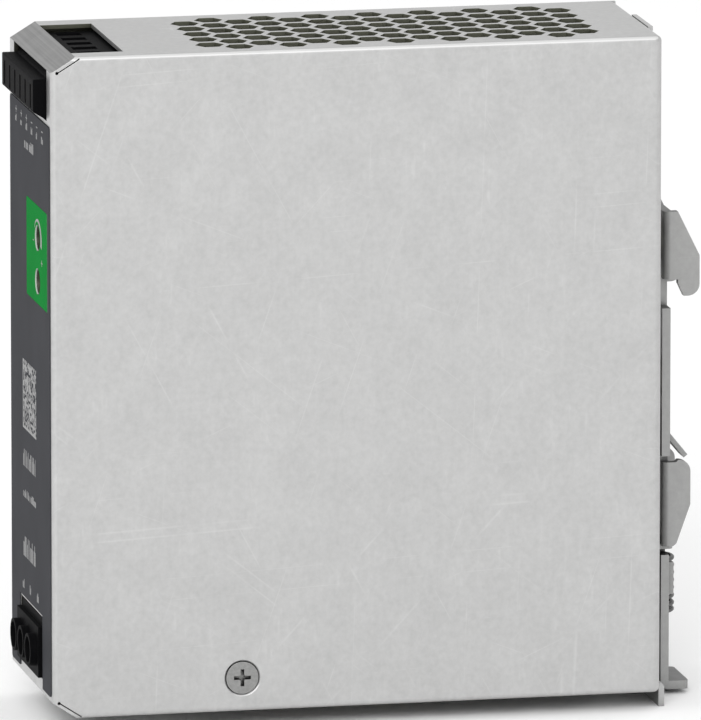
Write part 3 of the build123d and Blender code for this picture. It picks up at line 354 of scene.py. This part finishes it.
def moulded(name, tone, rough, grain=0.09, wear_and_highlight=0.25, coat=0.0, gloss=0.5):
    """Moulded plastic: spark-eroded grain, faint flow marks, dust and worn edges."""
    recipe = Recipe(name, Coat_Weight=coat, Coat_Roughness=0.15, Specular_IOR_Level=gloss)
    texture = recipe.noise(grain, 2.0, seed=21.0)
    flow = recipe.noise((6.0, 2.5, 9.0), 3.0, seed=22.0)
    dust = recipe.ramp(recipe.noise(0.6, 3.0, seed=23.0), 0.55, 0.8, end=0.25)
    body = recipe.mix(recipe.ramp(flow, *SPREAD), shade(tone, 0.92), shade(tone, 1.1))
    body = recipe.mix(dust, body, shade(tone, 1.2))
    edge_wear_and_highlight = recipe.math("MULTIPLY", recipe.edges(0.2), wear_and_highlight)
    edge_tone = tuple(channel * 1.5 + 0.02 for channel in tone)
    recipe.set("Base Color", recipe.mix(edge_wear_and_highlight, body, edge_tone))
    recipe.set("Roughness", recipe.ramp(texture, *SPREAD, rough - 0.06, rough + 0.08))
    recipe.bump((texture, 0.012), (flow, 0.01), rounding=0.15)
    return recipe.material


def printed_film(name, tone, rough, gloss, edge=None):
    """Matt polyester film: very fine grain, uneven ink and, if given, a light cut edge."""
    recipe = Recipe(name, Specular_IOR_Level=gloss)
    grain = recipe.noise(0.12, 2.0, seed=31.0)
    ink = recipe.noise((9.0, 9.0, 14.0), 3.0, seed=32.0)
    body = recipe.mix(recipe.ramp(ink, *SPREAD), shade(tone, 0.93), shade(tone, 1.08))
    body = recipe.mix(recipe.ramp(grain, *SPREAD, end=0.3), body, shade(tone, 1.2))
    if edge:
        body = recipe.mix(recipe.cut_walls(), body, edge)
    recipe.set("Base Color", body)
    recipe.set("Roughness", recipe.ramp(grain, *SPREAD, rough - 0.05, rough + 0.08))
    recipe.bump((grain, 0.008), (ink, 0.03), rounding=0.08)
    return recipe.material


MASK_TONES = (0.035, 0.15, 0.06), (0.018, 0.085, 0.035)
WEAVE_TONE = (0.05, 0.19, 0.08)
TINNED_TONE = (0.62, 0.61, 0.57)


def circuit_board(name):
    """Solder mask over copper tracks, with tinned points and the weave just visible."""
    recipe = Recipe(name, Coat_Weight=0.4, Coat_Roughness=0.2)
    tracks = recipe.ramp(recipe.cells(3.2, 41.0, "DISTANCE_TO_EDGE"), 0.09, 0.11)
    weave = recipe.noise(0.5, 1.0, seed=42.0)
    pads = recipe.ramp(recipe.cells(4.1, 43.0), 0.16, 0.18, 1.0, 0.0)
    mask = recipe.mix(tracks, *MASK_TONES)
    mask = recipe.mix(recipe.ramp(weave, 0.4, 0.7, end=0.3), mask, WEAVE_TONE)
    recipe.set("Base Color", recipe.mix(pads, mask, TINNED_TONE))
    recipe.set("Metallic", recipe.math("MULTIPLY", pads, 0.9))
    recipe.set("Roughness", recipe.ramp(weave, *SPREAD, 0.32, 0.45))
    recipe.bump((tracks, -0.03), (pads, 0.12), (weave, 0.004))
    return recipe.material


def wound(name, tone, rough, overlap, coat):
    """Tape or sleeving laid in turns, with slightly different tones from turn to turn."""
    recipe = Recipe(name, Coat_Weight=coat, Coat_Roughness=0.12)
    turns = recipe.noise((40.0, overlap, overlap), 0.0, seed=51.0)
    smudge = recipe.noise(3.0, 3.0, seed=52.0)
    body = recipe.mix(recipe.ramp(turns, *SPREAD), shade(tone, 0.78), shade(tone, 1.12))
    body = recipe.mix(recipe.ramp(smudge, 0.5, 0.8, end=0.5), body, shade(tone, 0.7))
    recipe.set("Base Color", body)
    recipe.set("Roughness", recipe.ramp(smudge, *SPREAD, rough - 0.06, rough + 0.1))
    recipe.bump((turns, 0.06), (smudge, 0.02), rounding=0.15)
    return recipe.material


FERRITE_TONES = (0.026, 0.026, 0.028), (0.05, 0.049, 0.052)
SPECK_TONE = (0.16, 0.16, 0.17)
CHIPPED_TONE = grey(0.14)


def sintered(name):
    """Ferrite: dark, dense grain with light specks and chipped edges."""
    recipe = Recipe(name, Metallic=0.15)
    grain = recipe.noise(0.2, 3.0, seed=61.0)
    specks = recipe.ramp(recipe.cells(0.9, 62.0), 0.1, 0.16, 1.0, 0.0)
    body = recipe.mix(recipe.ramp(grain, *SPREAD), *FERRITE_TONES)
    body = recipe.mix(recipe.math("MULTIPLY", specks, 0.35), body, SPECK_TONE)
    chipped = recipe.math("MULTIPLY", recipe.edges(0.2), 0.4)
    recipe.set("Base Color", recipe.mix(chipped, body, CHIPPED_TONE))
    recipe.set("Roughness", recipe.ramp(grain, *SPREAD, 0.45, 0.62))
    recipe.bump((grain, 0.02), rounding=0.2)
    return recipe.material


INK_TONES = grey(0.22), grey(0.34)


def screen_ink(name):
    """Thin screen-printed ink, a little broken where the film's grain shows through."""
    recipe = Recipe(name, Specular_IOR_Level=0.1)
    breaks = recipe.noise(0.15, 2.0, seed=71.0)
    recipe.set("Base Color", recipe.mix(recipe.ramp(breaks, 0.3, 0.6), *INK_TONES))
    recipe.set("Roughness", recipe.ramp(breaks, *SPREAD, 0.5, 0.65))
    recipe.bump((breaks, 0.004))
    return recipe.material


CASE_TONE = (0.50, 0.50, 0.497)
CLIP_TONE = (0.345, 0.345, 0.341)
HEATSINK_TONE = (0.6, 0.61, 0.6)
GREY_FILM_TONE = (0.052, 0.053, 0.058)
GREEN_FILM_TONE = (0.004, 0.19, 0.03)
FILM_EDGE_TONE = (0.5, 0.55, 0.5)
BLACK_TONE = (0.0035, 0.0035, 0.004)
SLEEVE_TONE = (0.022, 0.025, 0.05)

MATERIALS = {
    "case_steel": sheet_metal(
        "zinc_sheet", CASE_TONE, 0.42, blotch=6.0, grain=0.5, folded=True
    ),
    "clip_steel": sheet_metal(
        "clip_sheet", CLIP_TONE, 0.46, blotch=5.0, scratched=0.5, grain=0.6, painted_top_shade=0.45
    ),
    "heatsink_aluminium": sheet_metal(
        "mill_aluminium", HEATSINK_TONE, 0.5, blotch=8.0, scratched=0.8
    ),
    "screw_steel": turned_metal("plated_screw", (0.32, 0.32, 0.315), 0.34),
    "spring_steel": turned_metal("spring_wire", grey(0.14), 0.36, mottle=0.3),
    "standoff_steel": turned_metal("plated_stud", (0.55, 0.54, 0.5), 0.36),
    "terminal_copper": turned_metal("tinned_copper", (0.66, 0.56, 0.4), 0.32),
    "winding_copper": turned_metal("enamelled_copper", (0.62, 0.24, 0.08), 0.28, mottle=0.8),
    "label_film": printed_film("grey_film", GREY_FILM_TONE, 0.6, gloss=0.01),
    "green_film": printed_film(
        "green_film", GREEN_FILM_TONE, 0.6, gloss=0.01, edge=FILM_EDGE_TONE
    ),
    "liner_film": printed_film("liner", (0.15, 0.155, 0.115), 0.5, gloss=0.1),
    "black_plastic": moulded("black_polyamide", BLACK_TONE, 0.6, wear_and_highlight=0.08, gloss=0.03),
    "bobbin_plastic": moulded("black_phenolic", (0.016, 0.015, 0.015), 0.5),
    "chip_plastic": moulded("chip_epoxy", (0.02, 0.02, 0.022), 0.55, wear_and_highlight=0.15),
    "trim_plastic": moulded("blue_plastic", (0.01, 0.03, 0.1), 0.4),
    "rotor_plastic": moulded("dark_rotor", grey(0.03), 0.45, wear_and_highlight=0.1),
    "lamp_plastic": moulded("green_epoxy", (0.02, 0.08, 0.02), 0.25, grain=0.4, coat=0.3),
    "film_capacitor": moulded("yellow_box", (0.5, 0.34, 0.05), 0.4),
    "ceramic_blue": moulded("blue_disc", (0.03, 0.12, 0.4), 0.28, grain=0.5, coat=0.6),
    "fuse_ceramic": moulded("fuse_tube", (0.74, 0.72, 0.66), 0.35, coat=0.3),
    "board_green": circuit_board("solder_mask"),
    "ferrite": sintered("ferrite"),
    "winding_tape": wound("yellow_tape", (0.66, 0.46, 0.05), 0.3, overlap=2.2, coat=0.5),
    "capacitor_sleeve": wound("shrink_sleeve", SLEEVE_TONE, 0.26, overlap=9.0, coat=0.6),
}
INK = screen_ink("white_ink")

for node_name, part in nodes.items():
    part.data.materials.clear()
    part.data.materials.append(MATERIALS[slot_of[node_name]])


# ------------------------------------------------------------------ pieces
def add_object(name, data):
    made = bpy.data.objects.new(name, data)
    bpy.context.scene.collection.objects.link(made)
    return made


def add_mesh(name, mesh_data, material, smooth):
    """A new object from a bmesh, which is freed."""
    mesh = bpy.data.meshes.new(name)
    mesh_data.to_mesh(mesh)
    mesh_data.free()
    mesh.materials.append(material)
    for face in mesh.polygons:
        face.use_smooth = smooth
    return add_object(name, mesh)


def piece(name, mesh_data, body, material, smooth=False):
    """A new object that rides on a body."""
    made = add_mesh(name, mesh_data, material, smooth)
    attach(made, body)
    return made


def tube(data, path, radius, sides=10):
    """Adds a round wire along a path of points, with a flat cap at each end."""
    tangents = []
    for index in range(len(path)):
        before = path[max(index - 1, 0)]
        after = path[min(index + 1, len(path) - 1)]
        tangents.append((after - before).normalized())
    across = tangents[0].orthogonal().normalized()
    rings = []
    for point, tangent in zip(path, tangents):
        across = (across - tangent * across.dot(tangent)).normalized()
        other = tangent.cross(across)
        ring = []
        for side in range(sides):
            angle = 2 * math.pi * side / sides
            offset = across * math.cos(angle) + other * math.sin(angle)
            ring.append(data.verts.new(point + offset * radius))
        rings.append(ring)
    for low, high in zip(rings, rings[1:]):
        for side in range(sides):
            after = (side + 1) % sides
            data.faces.new((low[side], low[after], high[after], high[side]))
    data.faces.new(list(reversed(rings[0])))
    data.faces.new(rings[-1])


# ---- return spring of the latch, with closed end coils
SPRING_DEPTH = 119.45
SPRING_LOW, SPRING_HIGH = 11.1, 22.8
SPRING_RADIUS, SPRING_WIRE = 2.45, 0.4
SPRING_SIDES = 12
SPRING_TURNS = 8
SPRING_POINTS = 36
END_TURNS = 0.75
END_RISE = 1.8 * SPRING_WIRE
SEAT_GAP = 0.05


def spring_height(turn):
    """Height of the wire's middle at a turn: slow in the end coils, steady between them."""
    low = SPRING_LOW + SPRING_WIRE + SEAT_GAP
    high = SPRING_HIGH - SPRING_WIRE - SEAT_GAP
    first = min(turn / END_TURNS, 1.0)
    last = 1.0 - min((SPRING_TURNS - turn) / END_TURNS, 1.0)
    middle = min(max((turn - END_TURNS) / (SPRING_TURNS - 2 * END_TURNS), 0.0), 1.0)
    return low + END_RISE * (first + last) + (high - low - 2 * END_RISE) * middle


spring_data = bmesh.new()
spring_path = []
for step in range(SPRING_TURNS * SPRING_POINTS + 1):
    turn = step / SPRING_POINTS
    angle = 2 * math.pi * turn
    depth = SPRING_DEPTH + SPRING_RADIUS * math.sin(angle)
    spring_path.append(at(SPRING_RADIUS * math.cos(angle), depth, spring_height(turn)))
tube(spring_data, spring_path, SPRING_WIRE * MM, SPRING_SIDES)
spring_metal = MATERIALS["spring_steel"]
spring = piece("return_spring", spring_data, "unit", spring_metal, True)
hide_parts("latch_spring")
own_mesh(spring)


def rounded_loop(share, half_width, half_height, corner):
    """A point on a rounded rectangle about the origin, a share of the way round it."""
    flat_w, flat_h = half_width - corner, half_height - corner
    arc = math.pi / 2 * corner
    flats = (2 * flat_h, 2 * flat_w, 2 * flat_h, 2 * flat_w)
    along = share % 1.0 * (sum(flats) + 4 * arc)
    starts = (
        (half_width, -flat_h),
        (flat_w, half_height),
        (-half_width, flat_h),
        (-flat_w, -half_height),
    )
    headings = ((0, 1), (-1, 0), (0, -1), (1, 0))
    centres = ((flat_w, flat_h), (-flat_w, flat_h), (-flat_w, -flat_h), (flat_w, -flat_h))
    for side in range(4):
        if along <= flats[side]:
            start, heading = starts[side], headings[side]
            return start[0] + heading[0] * along, start[1] + heading[1] * along
        along -= flats[side]
        if along <= arc:
            angle = math.pi / 2 * side + along / corner
            centre = centres[side]
            return centre[0] + corner * math.cos(angle), centre[1] + corner * math.sin(angle)
        along -= arc
    return starts[0]


# ---- common-mode choke: a layer of round wire on each leg of the core
CHOKE_X = (-13.1, 6.9)
CHOKE_LEGS = (8.0, 24.0)
CHOKE_RISE = 3.7
CHOKE_CORNER = 1.6
CHOKE_WIRE = 0.48
CHOKE_DEPTHS = (36.9, 45.1)
CHOKE_TURNS = 8
CHOKE_POINTS = 64

choke_data = bmesh.new()
choke_middle = (CHOKE_X[0] + CHOKE_X[1]) / 2
choke_half = (CHOKE_X[1] - CHOKE_X[0]) / 2
for leg in CHOKE_LEGS:
    choke_path = []
    for step in range(CHOKE_TURNS * CHOKE_POINTS + 1):
        turn = step / CHOKE_POINTS
        x, rise = rounded_loop(turn, choke_half, CHOKE_RISE, CHOKE_CORNER)
        depth = CHOKE_DEPTHS[0] + (CHOKE_DEPTHS[1] - CHOKE_DEPTHS[0]) * turn / CHOKE_TURNS
        choke_path.append(at(x + choke_middle, depth, leg + rise))
    tube(choke_data, choke_path, CHOKE_WIRE * MM)
copper = MATERIALS["winding_copper"]
choke = piece("choke_wire", choke_data, "unit", copper, True)
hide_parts("choke_windings")


# ---- output inductor: thick wire wound round a ring core, with a gap between its ends
RING_X, RING_DEPTH, RING_Z = -7.0, 66.0, 106.5
RING_MIDDLE = 6.4
RING_HALF_WIDTH, RING_HALF_RADIAL = 4.6, 2.65
RING_CORNER = 1.2
RING_WIRE = 0.6
RING_TURNS = 15
RING_POINTS = 40
RING_GAP = 34.0

ring_data = bmesh.new()
ring_path = []
for step in range(RING_TURNS * RING_POINTS + 1):
    turn = step / RING_POINTS
    swept = math.radians(180 + RING_GAP / 2 + (360 - RING_GAP) * turn / RING_TURNS)
    x, radial = rounded_loop(turn, RING_HALF_WIDTH, RING_HALF_RADIAL, RING_CORNER)
    radius = RING_MIDDLE + radial
    depth = RING_DEPTH + radius * math.cos(swept)
    ring_path.append(at(RING_X + x, depth, RING_Z + radius * math.sin(swept)))
tube(ring_data, ring_path, RING_WIRE * MM)
inductor = piece("inductor_wire", ring_data, "unit", copper, True)
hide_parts("output_inductor_winding")


# ---- print on the labels: generic signs, strokes and a made-up square pattern
INK_FRONT, INK_BACK = -0.28, -0.24  # depths: the faces of the labels are at -0.25
SIGN_STROKE = 0.17
STROKE_WIDTHS = (0.25, 0.45)
STROKE_HEIGHTS = (0.7, 1.0)
STROKE_GAPS = (0.25, 0.3, 0.3, 0.8)
ARC_STEPS = 28


def printed(data, outline):
    """A thin patch of ink with an outline of (x, height) points, counter-clockwise from the front."""
    front = [data.verts.new(at(x, INK_FRONT, z)) for x, z in outline]
    back = [data.verts.new(at(x, INK_BACK, z)) for x, z in outline]
    data.faces.new(front)
    data.faces.new(list(reversed(back)))
    for index in range(len(outline)):
        after = (index + 1) % len(outline)
        data.faces.new((front[index], back[index], back[after], front[after]))


def printed_bar(data, x, z, width, height):
    """A rectangle about (x, z)."""
    left, right = x - width / 2, x + width / 2
    low, high = z - height / 2, z + height / 2
    printed(data, [(left, low), (right, low), (right, high), (left, high)])


def printed_sign(data, x, z, size, plus):
    """A plus or a minus sign in thin strokes."""
    if not plus:
        printed_bar(data, x, z, size, size * SIGN_STROKE)
        return
    long, thin = size / 2, size * SIGN_STROKE / 2
    quarter = [(long, thin), (thin, thin), (thin, long)]
    outline = []
    for _ in range(4):
        outline += [(x + across, z + rise) for across, rise in quarter]
        quarter = [(-rise, across) for across, rise in quarter]
    printed(data, outline)


def printed_line(data, x_low, x_high, z, height, draw):
    """Upright strokes of uneven width and spacing, in the place of words."""
    x = x_low
    while x < x_high - STROKE_WIDTHS[0]:
        width = draw.uniform(*STROKE_WIDTHS)
        rise = height * draw.choice(STROKE_HEIGHTS)
        printed_bar(data, x + width / 2, z - (height - rise) / 2, width, rise)
        x += width + draw.choice(STROKE_GAPS)


def printed_arc(data, x, z, radius, thin, thick, start, stop):
    """A scale round a hole that widens from thin to thick, from start to stop (degrees)."""
    outer, inner = [], []
    for step in range(ARC_STEPS + 1):
        share = step / ARC_STEPS
        angle = math.radians(start + (stop - start) * share)
        reach = radius + thin + (thick - thin) * share
        outer.append((x + reach * math.cos(angle), z + reach * math.sin(angle)))
        inner.append((x + radius * math.cos(angle), z + radius * math.sin(angle)))
    printed(data, inner + list(reversed(outer)))


OUTPUT_PITCH, OUTPUT_POLES = 5.08, 6
POLE_SIGN_Z, POLE_LINE_Z = 109.0, 107.4
POLE_PRINT, POLE_HALF = 1.3, 0.8
# Each row: lowest x, highest x, height above the bottom, height of the strokes.
GROUP_LINES = ((-4.7, -0.9, 104.1, 1.9), (0.0, 4.2, 104.1, 1.9))
RATING_LINES = ((-6.9, 5.4, 44.4, 3.2), (-7.0, 5.2, 37.7, 1.5), (-7.0, 5.0, 27.6, 3.8))
INPUT_LINES = ((-7.9, -6.1, 20.3, 1.7), (-0.9, 0.9, 20.3, 1.7), (6.1, 7.9, 20.3, 1.7))
CODE_X, CODE_Z = -7.1, 50.0
CODE_CELL, CODE_COUNT, CODE_FILLED = 0.5, 26, 0.52

draw = random.Random(35)
marks = bmesh.new()
for pole in range(OUTPUT_POLES):
    pole_x = OUTPUT_PITCH * (pole - (OUTPUT_POLES - 1) / 2)
    printed_sign(marks, pole_x, POLE_SIGN_Z, POLE_PRINT, pole < OUTPUT_POLES / 2)
    printed_line(marks, pole_x - POLE_HALF, pole_x + POLE_HALF, POLE_LINE_Z, POLE_PRINT, draw)
for line in GROUP_LINES:
    printed_line(marks, *line, draw)
for column in range(CODE_COUNT):
    for row in range(CODE_COUNT):
        if draw.random() < CODE_FILLED or column == 0 or row == 0:
            x = CODE_X + CODE_CELL * (column + 0.5)
            z = CODE_Z + CODE_CELL * (row + 0.5)
            printed_bar(marks, x, z, CODE_CELL, CODE_CELL)
for line in RATING_LINES + INPUT_LINES:
    printed_line(marks, *line, draw)
piece("label_marks", marks, "unit", INK)

TRIM_X, TRIM_Z = 7.85, 88.3
# Each row: x and height from the middle of the hole, size, whether it is a plus.
SCALE_SIGNS = ((-3.9, -1.0, 1.0, False), (4.2, -4.0, 1.2, True))
scale = bmesh.new()
printed_arc(scale, TRIM_X, TRIM_Z, radius=3.1, thin=0.15, thick=1.2, start=150.0, stop=-20.0)
for sign_x, sign_z, size, plus in SCALE_SIGNS:
    printed_sign(scale, TRIM_X + sign_x, TRIM_Z + sign_z, size, plus)
piece("adjuster_scale", scale, "unit", INK)


# ------------------------------------------------------------------ stage, camera and light
FLOOR_HALF_M = 9.0
FLOOR_TONES = grey(0.94), grey(0.97)
FLOOR_CLOUD = 400.0
CAMERA_AZIMUTH, CAMERA_ELEVATION = math.radians(78.045), math.radians(11.021)
CAMERA_DISTANCE_M = 2.87283
CAMERA_TARGET = (0.0, 60.0, 62.0)
CAMERA_SHIFT = (0.393, -0.491)  # of the target, to the right and up in the view
LENS, SENSOR = 772.5, 36.0
CLIP_NEAR_M, CLIP_FAR_M = 0.1, 40.0
# Each row: name, place (metres), side (metres), power (watts).
LIGHTS = (
    ("key", (2.2, -0.9, 1.5), 1.4, 34.0),
    ("fill", (0.3, -2.4, 1.0), 1.6, 6.0),
)
WORLD_TONE, WORLD_STRENGTH = 0.95, 0.96

floor_recipe = Recipe("pale_floor", Roughness=0.8)
wash = floor_recipe.noise(FLOOR_CLOUD, 2.0, seed=91.0)
floor_recipe.set("Base Color", floor_recipe.mix(wash, *FLOOR_TONES))
floor_data = bmesh.new()
floor_z_m = cad_box[0][2]
floor_corners = []
for x, y in ((-1, -1), (1, -1), (1, 1), (-1, 1)):
    floor_corners.append(floor_data.verts.new((x * FLOOR_HALF_M, y * FLOOR_HALF_M, floor_z_m)))
floor_data.faces.new(floor_corners)
floor = add_mesh("floor", floor_data, floor_recipe.material, False)

back = Vector(
    (
        math.sin(CAMERA_AZIMUTH) * math.cos(CAMERA_ELEVATION),
        -math.cos(CAMERA_AZIMUTH) * math.cos(CAMERA_ELEVATION),
        math.sin(CAMERA_ELEVATION),
    )
)
right = Vector((math.cos(CAMERA_AZIMUTH), math.sin(CAMERA_AZIMUTH), 0.0))
up = back.cross(right)
target = at(*CAMERA_TARGET) + (right * CAMERA_SHIFT[0] + up * CAMERA_SHIFT[1]) * MM
camera_data = bpy.data.cameras.new("camera")
camera_data.lens = LENS
camera_data.sensor_width = SENSOR
camera_data.clip_start = CLIP_NEAR_M
camera_data.clip_end = CLIP_FAR_M
camera = add_object("camera", camera_data)
pose = Matrix((right, up, back)).transposed().to_4x4()
pose.translation = target + back * CAMERA_DISTANCE_M
camera.matrix_world = pose
bpy.context.scene.camera = camera

for light_name, place, side, power in LIGHTS:
    light_data = bpy.data.lights.new(light_name, "AREA")
    light_data.shape = "SQUARE"
    light_data.size = side
    light_data.energy = power
    light = add_object(light_name, light_data)
    light.location = place
    light.rotation_mode = "QUATERNION"
    light.rotation_quaternion = (target - Vector(place)).to_track_quat("-Z", "Y")

world = bpy.data.worlds.new("studio")
world.use_nodes = True
sky = world.node_tree.nodes["Background"]
sky.inputs["Color"].default_value = (*grey(WORLD_TONE), 1.0)
sky.inputs["Strength"].default_value = WORLD_STRENGTH
bpy.context.scene.world = world
bpy.context.scene.view_settings.view_transform = "Standard"
